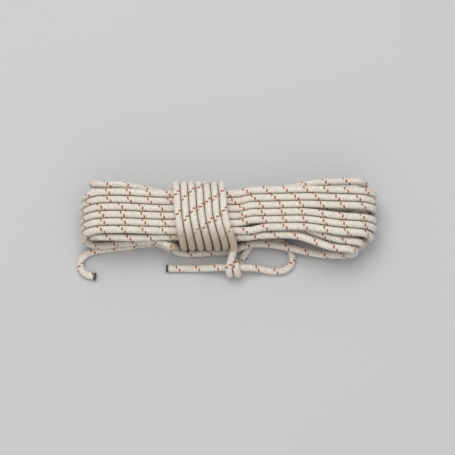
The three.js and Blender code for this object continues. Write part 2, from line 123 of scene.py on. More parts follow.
WRAP_TURNS = 7
WRAP_STEP = 1.065 * ROPE  # from turn to turn along the hank
WRAP_FIRST = -0.072  # the first turn crosses the top here
WRAP_SIDE_SPACE = 1.17 * ROPE  # from the outermost run's centre line to the turns'
WRAP_TOP_SPACE = 1.55 * ROPE  # and from the topmost
WRAP_POWER = 2.8  # 2 is an ellipse, more is squarer
WRAP_LEAN = ROPE / 6  # the turns lean to the right as they come down in front
WRAP_FANS = (0.36 * ROPE, 1.03 * ROPE)  # and the first and the last by this much more there
WRAP_FROM = -170  # degrees round the waist: 0 back, 90 top, 180 front
WRAP_TO = 160  # the last turn ends here, at the front

HITCH_TURNS = 2
HITCH_STEP = 1.06 * ROPE
HITCH_RADIUS = 1.045 * ROPE  # of the turns' centre line, round the finishing end
HITCH_X = 0.0027  # where the hitch starts
HITCH_AHEAD = 2.82 * ROPE  # its axis lies this far in front of the waist turns' line
HITCH_FROM = 120  # degrees, counted as on the waist
HITCH_TO = 270  # the hitch ends underneath
HITCH_CLEARANCE = 0.0004  # of its turns over the ground

MIDDLE_COLUMN = (INNER_COLUMNS - 1) / 2
WAIST_COLUMN = np.sqrt(COLUMN_STEP**2 - (2 * WAIST_STAGGER) ** 2)
WRAP_HALF_WIDTH = MIDDLE_COLUMN * WAIST_COLUMN + WRAP_SIDE_SPACE
WRAP_HALF_HEIGHT = WAIST_HALF_GAP + ROW_STEP + OUTER_LIFT + WRAP_TOP_SPACE
WAIST_START = WRAP_FIRST - MARGIN_LEFT
WAIST_END = WRAP_FIRST + (WRAP_TURNS - 1) * WRAP_STEP + MARGIN_RIGHT
OUTER_FOLD = INNER_FOLD + ROW_STEP
END_Z = REST + OUTER_FOLD
WAIST_Z = REST + WRAP_HALF_HEIGHT
LEFT_FOLD = HANK_LEFT + ROPE / 2 + OUTER_FOLD - LEFT_TUCK
RIGHT_FOLD = HANK_LEFT + HANK_LENGTH - ROPE / 2 - OUTER_FOLD
HITCH_Y = -WRAP_HALF_WIDTH - HITCH_AHEAD  # from the hank's axis
HITCH_Z = ROPE / 2 + HITCH_RADIUS + HITCH_CLEARANCE

ROUTE_STEP = 0.004  # between the points that the formulas are worked out at

# ---------------------------------------------------------------- the hank's loops


def smoothstep(x, low, high):
    """0 below low, 1 above high, and 3t^2 - 2t^3 between."""
    t = np.clip((x - low) / (high - low), 0, 1)
    return t * t * (3 - 2 * t)


def window(x, left_end, left_full, right_full, right_end):
    """1 in the middle, falling to 0 at both ends."""
    return smoothstep(x, left_end, left_full) * (1 - smoothstep(x, right_full, right_end))


def drawn_in(x):
    """1 where the hank is drawn in at its waist."""
    opens = WAIST_END + DRAW_KEPT
    return window(x, WAIST_START - DRAW_LEFT, WAIST_START, opens, opens + DRAW_RIGHT)


def right_fold(column):
    """Where the right fold of a column's loop has its middle: the front loops end short."""
    share = np.clip(1 - column / SETBACK_COLUMNS, 0, 1)
    return RIGHT_FOLD - FOLD_SETBACK * share**2


def fold_radius(layer):
    """Bend radius of a layer's folds."""
    return INNER_FOLD + layer * ROW_STEP


def column_shift(layer, column, x):
    """How far a column is shifted along y: forward at the waist, then back, the front columns
    later and less, and at the right end apart in sheaves."""
    behind = column >= WEDGE_START
    swing_start = WAIST_END + (0 if behind else WEDGE_LENGTH)
    swung = smoothstep(x, swing_start, WAIST_END + (WEDGE_LENGTH if behind else WEDGE_END))
    shift = WAIST_SHIFT * smoothstep(x, WAIST_START - DRAW_LEFT, WAIST_START)
    shift = shift + (SWINGS[min(column, 1)] - shift) * swung
    space = FRONT_SPACE if column < FRONT_SHEAF[layer] else 0
    space += sum(gap for start, gap in SHEAVES if column < start)
    parted = smoothstep(x, WAIST_END + SHEAVES_AFTER, right_fold(column))
    return shift + (SHEAVES_SHIFT - space - shift) * parted


def column_y(layer, column, x):
    """A column's y along the hank. Columns stand a step apart. At the waist the inner ones are
    closer, as they alternate in height, and the outer ones lie level."""
    drawn = drawn_in(x)
    if layer == 0:
        step = np.sqrt(COLUMN_STEP**2 - (2 * WAIST_STAGGER * drawn) ** 2)
    else:
        step = COLUMN_STEP + (OUTER_WAIST_STEP - COLUMN_STEP) * drawn
    forward = layer * OUTER_SHIFT * (1 - smoothstep(x, LEFT_FOLD, WAIST_START))
    return HANK_Y + (column - MIDDLE_COLUMN) * step + column_shift(layer, column, x) + forward


def run_z(layer, level, column, x):
    """Height of a run, with level 1 for the upper run of a loop and -1 for the lower: the two
    close up and rise towards the waist."""
    fold, drawn = right_fold(column), drawn_in(x)
    closed = window(x, LEFT_FOLD, WAIST_START, WAIST_END + OPEN_AFTER, fold)
    lifted = window(x, LEFT_FOLD, LEFT_FOLD + LIFT_LEFT, WAIST_END + LIFT_AFTER, fold)
    stagger = (1 - layer) * WAIST_STAGGER * drawn * (1 if column % 2 == 0 else -1)
    half_gap = INNER_FOLD + (WAIST_HALF_GAP - INNER_FOLD) * closed
    half_gap = half_gap + layer * (ROW_STEP + OUTER_LIFT * drawn)
    return END_Z + (WAIST_Z - END_Z) * lifted + stagger + level * half_gap


def along(start, end):
    """Evenly spaced x from start to end, about a route step apart, without the end."""
    return np.linspace(start, end, max(2, int(abs(end - start) / ROUTE_STEP)), endpoint=False)


def run(layer, level, column, start, end):
    """One run of a loop, as points."""
    x = along(start, end)
    return np.column_stack([x, column_y(layer, column, x), run_z(layer, level, column, x)])


def climb():
    """The run on which the rope climbs from the inner to the outer layer: it drops to the outer
    row, steps in under the last inner column and rises to its own place."""
    x = along(LEFT_FOLD, WAIST_START)
    share = (x - LEFT_FOLD) / (WAIST_START - LEFT_FOLD)
    drop, step_in = smoothstep(share, *CLIMB_DROP), smoothstep(share, *CLIMB_STEP_IN)
    rise = np.maximum(2 * step_in - 1, 0) ** 2
    column = INNER_COLUMNS - 1
    from_y = column_y(0, column + 1, x)
    y = from_y + (column_y(1, column - 1, x) - from_y) * step_in
    inner_z = run_z(0, -1, column, x)
    z = inner_z + (run_z(1, -1, column, x) - inner_z) * drop
    return np.column_stack([x, y, z + (run_z(1, -1, column - 1, x) - z) * rise])


def right_turn(layer, column):
    """Half a turn at the right end: a half circle from the lower run up to the upper one."""
    radius, x = fold_radius(layer), right_fold(column)
    angle = np.linspace(-np.pi / 2, np.pi / 2, int(np.pi * radius / ROUTE_STEP), endpoint=False)
    y = np.full_like(angle, column_y(layer, column, x))
    return np.column_stack([x + radius * np.cos(angle), y, END_Z + radius * np.sin(angle)])


def left_turn(layer, column, next_column, end_radius):
    """Half a turn at the left end, down to the next loop's lower run, one column on. It is an
    ellipse, flatter along the hank, and the last one ends further in."""
    radius = fold_radius(layer)
    share = np.linspace(0, 1, int(np.pi * radius / ROUTE_STEP), endpoint=False)
    angle = np.pi * (0.5 + share)
    radius = radius + (end_radius - radius) * share**4
    start_y, end_y = column_y(layer, column, LEFT_FOLD), column_y(layer, next_column, LEFT_FOLD)
    x = LEFT_FOLD + (radius - LEFT_TUCK) * np.cos(angle)
    return np.column_stack([x, start_y + (end_y - start_y) * share, END_Z + radius * np.sin(angle)])


def loop_order():
    """The loops as (layer, column): inner layer front to back, outer layer back to front."""
    first_outer = (INNER_COLUMNS - OUTER_COLUMNS) // 2
    inner = [(0, column) for column in range(INNER_COLUMNS)]
    outer = [(1, column) for column in range(first_outer, first_outer + OUTER_COLUMNS)]
    return inner + outer[::-1]


def hank_line():
    """The whole winding, from the first loop's right fold. After the last loop it runs on in the
    place that the first loop's lower run leaves free."""
    order = loop_order()
    parts = []
    for n, (layer, column) in enumerate(order):
        fold = right_fold(column)
        if n > 0 and order[n - 1][0] != layer:
            parts += [climb(), run(layer, -1, column, WAIST_START, fold)]
        elif n > 0:
            parts.append(run(layer, -1, column, LEFT_FOLD, fold))
        parts.append(right_turn(layer, column))
        parts.append(run(layer, 1, column, fold, LEFT_FOLD))
        last = n == len(order) - 1
        next_column = column + 1 if layer == 0 else column - 1
        parts.append(left_turn(layer, column, next_column, INNER_FOLD if last else fold_radius(layer)))
    return np.concatenate([*parts, run(0, -1, 0, *TAIL)])


# ---------------------------------------------------------------- turns round the waist, hitch

TURN_STEP = 5  # degrees between the points of a winding


def turns(place, start, end):
    """Points of a winding from one angle to the other, in degrees: 0 back, 90 top, 180 front."""
    return place(np.linspace(start, end, int((end - start) / TURN_STEP) + 1))


def wrap_place(angle):
    """The waist turns' outline is a superellipse: cosine and sine raised to 2 / power. In front
    they lean to the right, the last turn most."""
    c, s = np.cos(np.radians(angle)), np.sin(np.radians(angle))
    rounded_c = np.sign(c) * np.abs(c) ** (2 / WRAP_POWER)
    rounded_s = np.sign(s) * np.abs(s) ** (2 / WRAP_POWER)
    share = np.clip((angle - 180) / (360 * (WRAP_TURNS - 1)), 0, 1)
    fan = (WRAP_FANS[0] + (WRAP_FANS[1] - WRAP_FANS[0]) * share) * np.maximum(-c, 0)
    x = WRAP_FIRST + WRAP_STEP * (angle - 90) / 360 - WRAP_LEAN * c + fan
    y = HANK_Y + WAIST_SHIFT + WRAP_HALF_WIDTH * rounded_c
    return np.column_stack([x, y, WAIST_Z + WRAP_HALF_HEIGHT * rounded_s])


def hitch_place(angle):
    """The hitch's turns go round the finishing end on a circle."""
    c, s = np.cos(np.radians(angle)), np.sin(np.radians(angle))
    x = HITCH_X + HITCH_STEP * (angle - HITCH_FROM) / 360
    return np.column_stack([x, HANK_Y + HITCH_Y + HITCH_RADIUS * c, HITCH_Z + HITCH_RADIUS * s])


# ---------------------------------------------------------------- free stretches
# Points are x, y from the hank's axis and z, in millimetres.

STARTING_END = (
    (-198, -86.5, 5.7), (-206, -85.9, 5.6), (-214, -81, 5.5), (-219, -71.5, 5.5),
    (-217.5, -61, 5.5), (-209, -52.4, 5.5), (-196, -48, 5.5), (-180, -45, 5.4),
    (-162, -43, 5.4), (-145, -40.6, 5.4), (-128, -37.8, 5.4), (-112, -36, 5.4),
    (-98, -37.4, 5.5), (-85, -44.6, 5.5), (-72, -50.6, 5.5), (-54, -52.4, 5.5),
    (-36, -51.2, 5.5), (-18, -49.7, 5.5), (-4, -49.6, 5.5), (8, -48.9, 6.6),
    (18, -44.6, 12), (30, -41, 16.6), (45, -39.6, 17.4), (61, -40.4, 17.6),
    (85, -44.4, 17.6), (110, -49.6, 16.2), (135, -54.4, 13.6),
)
LEAD = ((-99, -39.9, 37.4), (-91, -45.6, 41), (-82.5, -50.6, 44.6))
TIE_OFF = ((11.2, -51.6, 49.8), (11, -54, 45), (8.2, -64, 36))
SLACK_BIGHT = (
    (20, -67.4, 4.6), (24, -57, 5.5), (31, -45.5, 5.5), (39.5, -34.5, 5.5), (49.5, -27.5, 5.5),
    (61, -25.5, 5.5), (73.5, -28, 5.5), (84.5, -35, 5.5), (93, -45, 5.5), (97.5, -56, 5.5),
    (97, -67, 5.5), (90, -75.5, 5.5), (78, -79.2, 5.5), (64, -78.6, 5.5), (52, -76.5, 8),
    (41, -75.6, 12.5),
)
MILLIMETRE = 0.001
HITCH_LINE = (HITCH_Y / MILLIMETRE, HITCH_Z / MILLIMETRE)
FINISHING_END = (
    (27, *HITCH_LINE), (15, *HITCH_LINE), (3, *HITCH_LINE), (-9, *HITCH_LINE),
    (-21, -75.2, 13), (-34, -75, 8), (-50, -74.7, 5.9), (-68, -74.6, 5.7), (-87, -74.6, 5.7),
)


KNOT_SPACE = 1e-9  # keeps knots apart where two points coincide


def free(points):
    """A free stretch's points, put where the hank stands."""
    return np.array(points) * MILLIMETRE + (0, HANK_Y, 0)


def curve_through(points, pieces=8):
    """A centripetal Catmull-Rom curve: each span blends the lines through its four nearest
    points, with knots spaced by the square root of the distance between points."""
    first, last = 2 * points[0] - points[1], 2 * points[-1] - points[-2]
    p = np.concatenate([[first], points, [last]])
    gaps = np.sqrt(np.linalg.norm(np.diff(p, axis=0), axis=1)) + KNOT_SPACE
    knots = np.concatenate([[0], np.cumsum(gaps)])[:, None, None]
    p = p[:, None, :]
    t0, t1, t2, t3 = knots[:-3], knots[1:-2], knots[2:-1], knots[3:]
    p0, p1, p2, p3 = p[:-3], p[1:-2], p[2:-1], p[3:]
    t = t1 + (t2 - t1) * np.linspace(0, 1, pieces, endpoint=False)[None, :, None]

    def between(a, b, at_a, at_b):
        return a + (b - a) * (t - at_a) / (at_b - at_a)

    a1, a2, a3 = between(p0, p1, t0, t1), between(p1, p2, t1, t2), between(p2, p3, t2, t3)
    b1, b2 = between(a1, a2, t0, t2), between(a2, a3, t1, t3)
    return np.concatenate([between(b1, b2, t1, t2).reshape(-1, 3), points[-1:]])


def lengths(line):
    """How far along the line each of its points is."""
    return np.concatenate([[0], np.cumsum(np.linalg.norm(np.diff(line, axis=0), axis=1))])


def evenly(line, step):
    """The line's points again, about a step apart all along."""
    at = lengths(line)
    new = np.linspace(0, at[-1], int(round(at[-1] / step)) + 1)
    return np.column_stack([np.interp(new, at, line[:, axis]) for axis in range(3)])


def smoothed(values, reach):
    """Each row averaged with those up to reach away, weighted by a raised cosine. The ends are
    continued by their mirror image through the end point, so they stay."""
    weights = 1 + np.cos(np.pi * np.arange(-reach, reach + 1) / (reach + 1))
    weights /= weights.sum()
    before = 2 * values[0] - values[reach:0:-1]
    after = 2 * values[-1] - values[-2 : -reach - 2 : -1]
    padded = np.concatenate([before, values, after])
    return np.column_stack([np.convolve(row, weights, "valid") for row in padded.T])


def directions(line):
    """The unit direction of the line at each point."""
    ahead = np.gradient(line, axis=0)
    return ahead / np.linalg.norm(ahead, axis=1)[:, None]


def carried_frames(line):
    """Two directions across the line at each point, square to each other and carried along it
    without turning about it: each point gets any direction across, and the turn between
    neighbours is summed and taken out."""
    tangent = directions(line)
    axis = np.eye(3)[np.argmin(np.abs(tangent), axis=1)]
    side = np.cross(tangent, axis)
    side /= np.linalg.norm(side, axis=1)[:, None]
    turn_axis = np.cross(tangent[:-1], tangent[1:])
    cosine = (tangent[:-1] * tangent[1:]).sum(axis=1)[:, None]
    s = side[:-1]
    carried = s * cosine + np.cross(turn_axis, s)
    carried += turn_axis * (turn_axis * s).sum(axis=1)[:, None] / (1 + cosine)
    up = np.cross(tangent, side)[1:]
    turned = np.arctan2((carried * up).sum(axis=1), (carried * side[1:]).sum(axis=1))
    turned = np.concatenate([[0], np.cumsum(turned)])[:, None]
    first = side * np.cos(turned) + np.cross(tangent, side) * np.sin(turned)
    return first, np.cross(tangent, first)


# ---------------------------------------------------------------- the rope settles

SETTLE_STEP = ROPE / 2
SETTLE_ROUNDS = 60
PAIR_ROUNDS = 10  # the near pairs are looked up again after this many
CONTACT = 0.985 * ROPE  # soft rope lies this close, centre to centre
PAIR_REACH = 1.6 * ROPE
OWN_REACH = 5  # points along the rope that don't press on each other
LEAST_DISTANCE = 1e-6  # between two points, to divide by
GROUND = 0.45 * ROPE  # height that the centre line is pushed up to
GROUND_PUSH = 0.5  # share of the missing height that a round makes good
SMOOTHING = 2  # points to each side


def near_pairs(line):
    """Pairs of points that lie near each other but not along the rope."""
    p = (line - line.mean(axis=0)) / ROPE
    square = (p * p).sum(axis=1)
    apart = square[:, None] + square[None, :] - 2 * p @ p.T
    a, b = np.nonzero(apart < (PAIR_REACH / ROPE) ** 2)
    keep = b - a > OWN_REACH
    return a[keep], b[keep]


def settled(line):
    """Stretches that lie closer than a diameter are pushed apart, each push shared out along the
    rope, so that the turns lie against each other as soft rope does."""
    moved = np.zeros_like(line)
    for n in range(SETTLE_ROUNDS):
        now = line + moved
        if n % PAIR_ROUNDS == 0:
            a, b = near_pairs(now)
        away = now[a] - now[b]
        distance = np.linalg.norm(away, axis=1)
        push = np.maximum(CONTACT - distance, 0) / 2
        push = away * (push / np.maximum(distance, LEAST_DISTANCE))[:, None]
        total, count = np.zeros_like(line), np.zeros(len(line))
        touching = (distance < CONTACT).astype(float)
        np.add.at(total, a, push)
        np.add.at(total, b, -push)
        np.add.at(count, a, touching)
        np.add.at(count, b, touching)
        moved += total / np.maximum(count, 1)[:, None]
        low = GROUND - (line + moved)[:, 2]
        moved[:, 2] += np.maximum(low, 0) * GROUND_PUSH
        moved = smoothed(moved, SMOOTHING)
    return line + moved


# ---------------------------------------------------------------- the rope's line

TUBE_STEP = 0.0038
TUBE_SIDES = 18
BRAID_YARNS = 12  # in each direction round the sheath
BRAID_LAY = 0.0297  # in which a yarn goes once round the rope
TRACER_YARNS = 2
# reach and slice of the mask for painted shade where stretches of rope touch
CONTACT_SHADE_REACH = 0.35  # of a diameter
CONTACT_SHADE_SLICE = 0.7 * TUBE_STEP  # a vertex is compared only with points less far ahead or behind
FRONT_SHADE_X = (-0.090, -0.076, 0.010, 0.024)  # painted shade on the front of the waist turns, fading in and out
FRONT_SHADE_Y = (-0.044, -0.039, -0.030, -0.004)
FRONT_SHADE_Z = 0.013  # and above this height


def rope_line():
    """From the starting end, through loops, turns and hitch, to the finishing end."""
    parts = [
        free(STARTING_END),
        hank_line(),
        free(LEAD),
        turns(wrap_place, WRAP_FROM, WRAP_TO + 360 * (WRAP_TURNS - 1)),
        free(TIE_OFF),
        turns(hitch_place, HITCH_FROM, HITCH_TO + 360 * (HITCH_TURNS - 1)),
        free(SLACK_BIGHT),
        free(FINISHING_END),
    ]
    line = evenly(curve_through(np.concatenate(parts)), SETTLE_STEP)
    line = settled(smoothed(line, SMOOTHING))
    return evenly(curve_through(line, pieces=4), TUBE_STEP)


# ---------------------------------------------------------------- where the tracer shows

TRACER_SHOWS = (  # layer, column, x of the upper run where the tracer faces the camera
    (0, 7, -0.1185), (1, 6, -0.1125), (1, 5, -0.1125), (1, 4, -0.1255),
    (1, 3, -0.1220), (1, 2, -0.1190), (1, 1, -0.1215), (0, 0, -0.1160),
    (1, 6, 0.1155), (1, 5, 0.1010), (1, 4, 0.1077), (1, 3, 0.1110),
    (1, 2, 0.0861), (1, 1, 0.1135), (0, 1, 0.1143), (0, 0, 0.1305),
)
TRACER_ROWS = (215, 218.1, 211.25, 208, 202.2, 217.5, 211.9)  # of the photograph, on each turn
SEEN_ANGLES = np.arange(20, 200)  # degrees of a turn that the camera sees
TRACER_ON_START = (59.4, -40.4, 17.6)


def place_on_turn(turn, row):
    """The point of a turn round the waist whose side towards the camera is seen in a row."""
    places = wrap_place(360 * turn + SEEN_ANGLES)
    rows = photo_row(places + ROPE / 2 * TO_CAMERA)
    return places[np.argmin(np.abs(rows - row))]


def lay_shifts(line):
    """How far round the rope the braid is turned at each point: as much as brings the tracer to
    the camera's side at the places above, and in proportion between them."""
    side, up = carried_frames(line)
    at = lengths(line) / BRAID_LAY
    camera = np.array(bpy.context.scene.camera.location)
    places = [
        (x, column_y(layer, column, x), run_z(layer, 1, column, x))
        for layer, column, x in TRACER_SHOWS
    ]
    places += [place_on_turn(turn, row) for turn, row in enumerate(TRACER_ROWS)]
    places.append(free(TRACER_ON_START))
    found = []
    for place in np.array(places):
        i = int(np.argmin(np.linalg.norm(line - place, axis=1)))
        towards = camera - line[i]
        face = np.arctan2(towards @ up[i], towards @ side[i]) / (2 * np.pi)
        found.append((i, at[i] - face - TRACER_YARNS / 2 / BRAID_YARNS))
    found.sort()
    index, shift = np.array(found).T
    for n in range(1, len(shift)):
        shift[n] += round(shift[n - 1] - shift[n])
    return np.interp(np.arange(len(line)), index, shift)


# ---------------------------------------------------------------- surfaces


def mesh_object(name, vertices, faces, uvs, material):
    """A smooth-shaded mesh from arrays. uvs has one row for each corner of each face."""
    mesh = bpy.data.meshes.new(name)
    mesh.from_pydata(vertices.tolist(), [], faces)
    layer = mesh.uv_layers.new(name="lay")
    layer.data.foreach_set("uv", np.asarray(uvs, np.float32).ravel())
    mesh.polygons.foreach_set("use_smooth", np.ones(len(mesh.polygons), bool))
    mesh.materials.append(material)
    mesh.update()
    made = bpy.data.objects.new(name, mesh)
    bpy.context.scene.collection.objects.link(made)
    return made


# the mask for the painted shade where stretches of rope touch each other
def contact_shade(line, vertices):
    """How near each vertex is to another stretch of the rope: 1 where they touch, 0 from
    CONTACT_SHADE_REACH on. vertices has a row of points for each point of the line."""
    a, b = near_pairs(line)
    a, b = np.concatenate([a, b]), np.concatenate([b, a])
    away = vertices[a] - line[b][:, None]
    ahead = (away * directions(line)[b][:, None]).sum(axis=-1)
    distance = np.sqrt(np.maximum((away * away).sum(axis=-1) - ahead**2, 0))
    distance[np.abs(ahead) > CONTACT_SHADE_SLICE] = ROPE
    nearest = np.full(vertices.shape[:2], ROPE)
    np.minimum.at(nearest, a, distance)
    return np.clip(1 - (nearest / ROPE - 0.5) / CONTACT_SHADE_REACH, 0, 1)


def rope_mesh(line, lay_shift, material):
    """A closed tube: each point of the line gets a ring of points half a diameter away, flattened
    where it would reach below the ground. Its UV runs along the rope, in lays of the braid, and
    round it, shifted where the braid is turned."""
    side, up = carried_frames(line)
    n, k = len(line), TUBE_SIDES
    angle = 2 * np.pi * np.arange(k) / k
    ring = np.cos(angle)[None, :, None] * side[:, None] + np.sin(angle)[None, :, None] * up[:, None]
    vertices = (line[:, None] + ROPE / 2 * ring).reshape(-1, 3)
    vertices[:, 2] = np.maximum(vertices[:, 2], 0)

    i, j = np.meshgrid(np.arange(n - 1), np.arange(k), indexing="ij")
    a, b = i * k + j, i * k + (j + 1) % k
    quads = np.stack([a, b, b + k, a + k], axis=-1).reshape(-1, 4)
    at = lengths(line) / BRAID_LAY
    u = np.stack([at[i], at[i], at[i + 1], at[i + 1]], axis=-1)
    v = np.stack([j, j + 1, j + 1, j], axis=-1) / k
    v = v + np.stack([lay_shift[i], lay_shift[i], lay_shift[i + 1], lay_shift[i + 1]], axis=-1)
    uvs = np.stack([u, v], axis=-1).reshape(-1, 2)

    # mask of painted shade where stretches of rope touch
    near = contact_shade(line, vertices.reshape(n, k, 3))
    # mask of painted shade on the front of the waist turns
    front_shade = window(vertices[:, 0], *FRONT_SHADE_X) * window(vertices[:, 1], *FRONT_SHADE_Y)
    front_shade *= vertices[:, 2] > FRONT_SHADE_Z
    caps = [list(range(k))[::-1], [(n - 1) * k + m for m in range(k)]]
    cap_uvs = [[at[0], 0]] * k + [[at[-1], 0]] * k
    faces = quads.tolist() + caps
    rope = mesh_object("rope", vertices, faces, np.concatenate([uvs, cap_uvs]), material)
    for name, values in (("contact_shade", near), ("front_shade", front_shade)):
        values = np.asarray(values, np.float32).ravel()
        rope.data.attributes.new(name, "FLOAT", "POINT").data.foreach_set("value", values)
    return rope


SEAL_DIAMETER = 0.0112
SEAL_LENGTH = 0.0036
SEAL_RINGS = 13
SEAL_SIDES = 32
SEAL_POWER = 6  # of the superellipse that rounds its rim
SEAL_WAVES = (0.018, 0.012)  # share of the radius, in three and in five waves round it
SEAL_TRIM = 0.99  # the radius without its waves, as a share of half the diameter
SEAL_TILT = 0.05  # unevenness of its height, as a share
SEAL_DOME = 1.02  # height of its middle, as a share of its length
SEAL_SINK = 0.0001  # of the rope's first step: the starting end's seal is sunk this far


def seal_mesh(name, end, outward, material):
    """A melted rope end: a disc turned on the rope's line, its rim rounded as a superellipse and a
    little uneven, so radius = R (1 - |t|^6)^(1/6) (1 + waves), with t from face to face."""
    rings, sides = SEAL_RINGS, SEAL_SIDES
    t = -np.cos(np.pi * np.arange(1, rings) / rings)[:, None]
    angle = 2 * np.pi * np.arange(sides)[None, :] / sides
    waves = SEAL_WAVES[0] * np.sin(3 * angle + 1) + SEAL_WAVES[1] * np.sin(5 * angle + 4 * t)
    rim = (1 - np.abs(t) ** SEAL_POWER) ** (1 / SEAL_POWER)
    radius = SEAL_DIAMETER / 2 * rim * (1 + waves) * SEAL_TRIM
    height = SEAL_LENGTH / 2 * (1 + t) * (1 + SEAL_TILT * np.sin(2 * angle))
    outward = outward / np.linalg.norm(outward)
    side = np.cross(outward, (0, 0, 1.0))
    side /= np.linalg.norm(side)
    up = np.cross(side, outward)
    ring = np.cos(angle)[..., None] * side - np.sin(angle)[..., None] * up
    body = end + height[..., None] * outward + radius[..., None] * ring
    middle = [end, end + SEAL_DOME * SEAL_LENGTH * outward]
    vertices = np.concatenate([body.reshape(-1, 3), middle])
    vertices[:, 2] = np.maximum(vertices[:, 2], 0)
    i, j = np.meshgrid(np.arange(rings - 2), np.arange(sides), indexing="ij")
    a, b = i * sides + j, i * sides + (j + 1) % sides
    quads = np.stack([a, a + sides, b + sides, b], axis=-1).reshape(-1, 4).tolist()
    foot, head, top = (rings - 1) * sides, (rings - 1) * sides + 1, (rings - 2) * sides
    fans = [[foot, m, (m + 1) % sides] for m in range(sides)]
    fans += [[head, top + (m + 1) % sides, top + m] for m in range(sides)]
    corners = 4 * len(quads) + 3 * len(fans)
    return mesh_object(name, vertices, quads + fans, np.zeros((corners, 2)), material)


# ---------------------------------------------------------------- shader expressions


class Wire:
    """A value that changes over a surface. Arithmetic on it adds Math nodes."""

    def __init__(self, shader, socket):
        self.shader, self.socket = shader, socket

    def math(self, operation, *others):
        values = dict(enumerate((self, *others)))
        return self.shader.node("ShaderNodeMath", {"operation": operation}, values)

    def __add__(self, other):
        return self.math("ADD", other)

    def __sub__(self, other):
        return self.math("SUBTRACT", other)

    def __rsub__(self, other):
        return (self * -1) + other

    def __mul__(self, other):
        return self.math("MULTIPLY", other)

    __radd__, __rmul__ = __add__, __mul__

    def floor(self):
        return self.math("FLOOR")

    def modulo(self, period):
        return self.math("FLOORED_MODULO", period)

    def below(self, limit):
        return self.math("LESS_THAN", limit)

    def sine(self):
        return self.math("SINE")

    def power(self, exponent):
        return self.math("POWER", exponent)


class Shader:
    """One material's nodes."""

    def __init__(self, name):
        self.material = bpy.data.materials.new(name)
        self.material.use_nodes = True
        self.tree = self.material.node_tree
        self.tree.nodes.clear()

    def node(self, kind, settings=None, inputs=None, output=0):
        """Adds a node: first its settings, then the value or link of each input."""
        made = self.tree.nodes.new(kind)
        for name, value in (settings or {}).items():
            setattr(made, name, value)
        for key, value in (inputs or {}).items():
            if isinstance(value, Wire):
                self.tree.links.new(value.socket, made.inputs[key])
            else:
                made.inputs[key].default_value = value
        return Wire(self, made.outputs[output]) if made.outputs else None

    def attribute(self, name):
        """A value that the mesh holds for each vertex."""
        return self.node("ShaderNodeAttribute", {"attribute_name": name}, output="Fac")

    def colour(self, factor, low, high):
        """The low colour where factor is 0, and the high one where it is 1."""
        inputs = {0: factor, 6: low, 7: high}
        return self.node("ShaderNodeMix", {"data_type": "RGBA"}, inputs, output=2)

    def noise(self, scale, detail=2.0, roughness=0.5):
        """Cloudy values from 0 to 1 in the object's own space."""
        place = self.node("ShaderNodeTexCoord", output="Object")
        inputs = {"Vector": place, "Scale": scale, "Detail": detail, "Roughness": roughness}
        return self.node("ShaderNodeTexNoise", None, inputs)

    def bump(self, height, distance, strength):
        """Relief of the surface, up to a distance high."""
        inputs = {"Strength": strength, "Distance": distance, "Height": height}
        return self.node("ShaderNodeBump", None, inputs)

    def surface(self, colour, roughness, normal=None, **fixed):
        """The shader itself. What is fixed is set on its own sockets."""
        inputs = {"Base Color": colour, "Roughness": roughness}
        if normal is not None:
            inputs["Normal"] = normal
        inputs.update({name.replace("_", " "): value for name, value in fixed.items()})
        shader = self.node("ShaderNodeBsdfPrincipled", None, inputs)
        self.node("ShaderNodeOutputMaterial", None, {"Surface": shader})
        return self.material


# ---------------------------------------------------------------- finishes

YARNS_OVER = 2  # that each yarn passes over, and then under
YARN_RELIEF = 0.00035
FLOAT_SWELL = 0.35  # share of a yarn's height that swells to the middle of its float
FUZZ = 0.12  # height of the fuzz, as a share of a yarn's

YARN_TONES = 0.55  # share of the tone that differs from yarn to yarn, the rest is cloudy
GRIME = 0.3  # how far each of these takes the colour with it
DYED = 0.2
# how far the painted shade in the dips between yarns darkens the colour
BETWEEN_YARNS_SHADE = 0.55
# how far the painted shade on the front of the waist turns darkens the colour
FRONT_SHADE_AMOUNT = 0.85
# how far the painted shade where stretches of rope touch darkens the colour
CONTACT_SHADE_AMOUNT = 0.35

IVORY = (0.52, 0.455, 0.375, 1)
IVORY_LIGHT = (0.83, 0.785, 0.725, 1)
# brown of the painted shade, in the dips between yarns and where stretches of rope touch
PAINTED_SHADE_BROWN = (0.37, 0.27, 0.165, 1)
# brown of the cloudy grime, and also of the painted shade on the front of the waist turns
SOIL_AND_SHADE_BROWN = (0.40, 0.315, 0.215, 1)
TRACER = (0.23, 0.074, 0.035, 1)
TRACER_DYE = (0.80, 0.58, 0.45, 1)  # that has come off on the yarns beside it
MELTED, MELTED_LIGHT = (0.012, 0.016, 0.022, 1), (0.05, 0.055, 0.065, 1)
CORE_WHITE, CORE_LIGHT = (0.78, 0.77, 0.72, 1), (0.9, 0.89, 0.86, 1)
FLOOR_GREY, FLOOR_LIGHT = (0.485, 0.485, 0.485, 1), (0.495, 0.495, 0.495, 1)


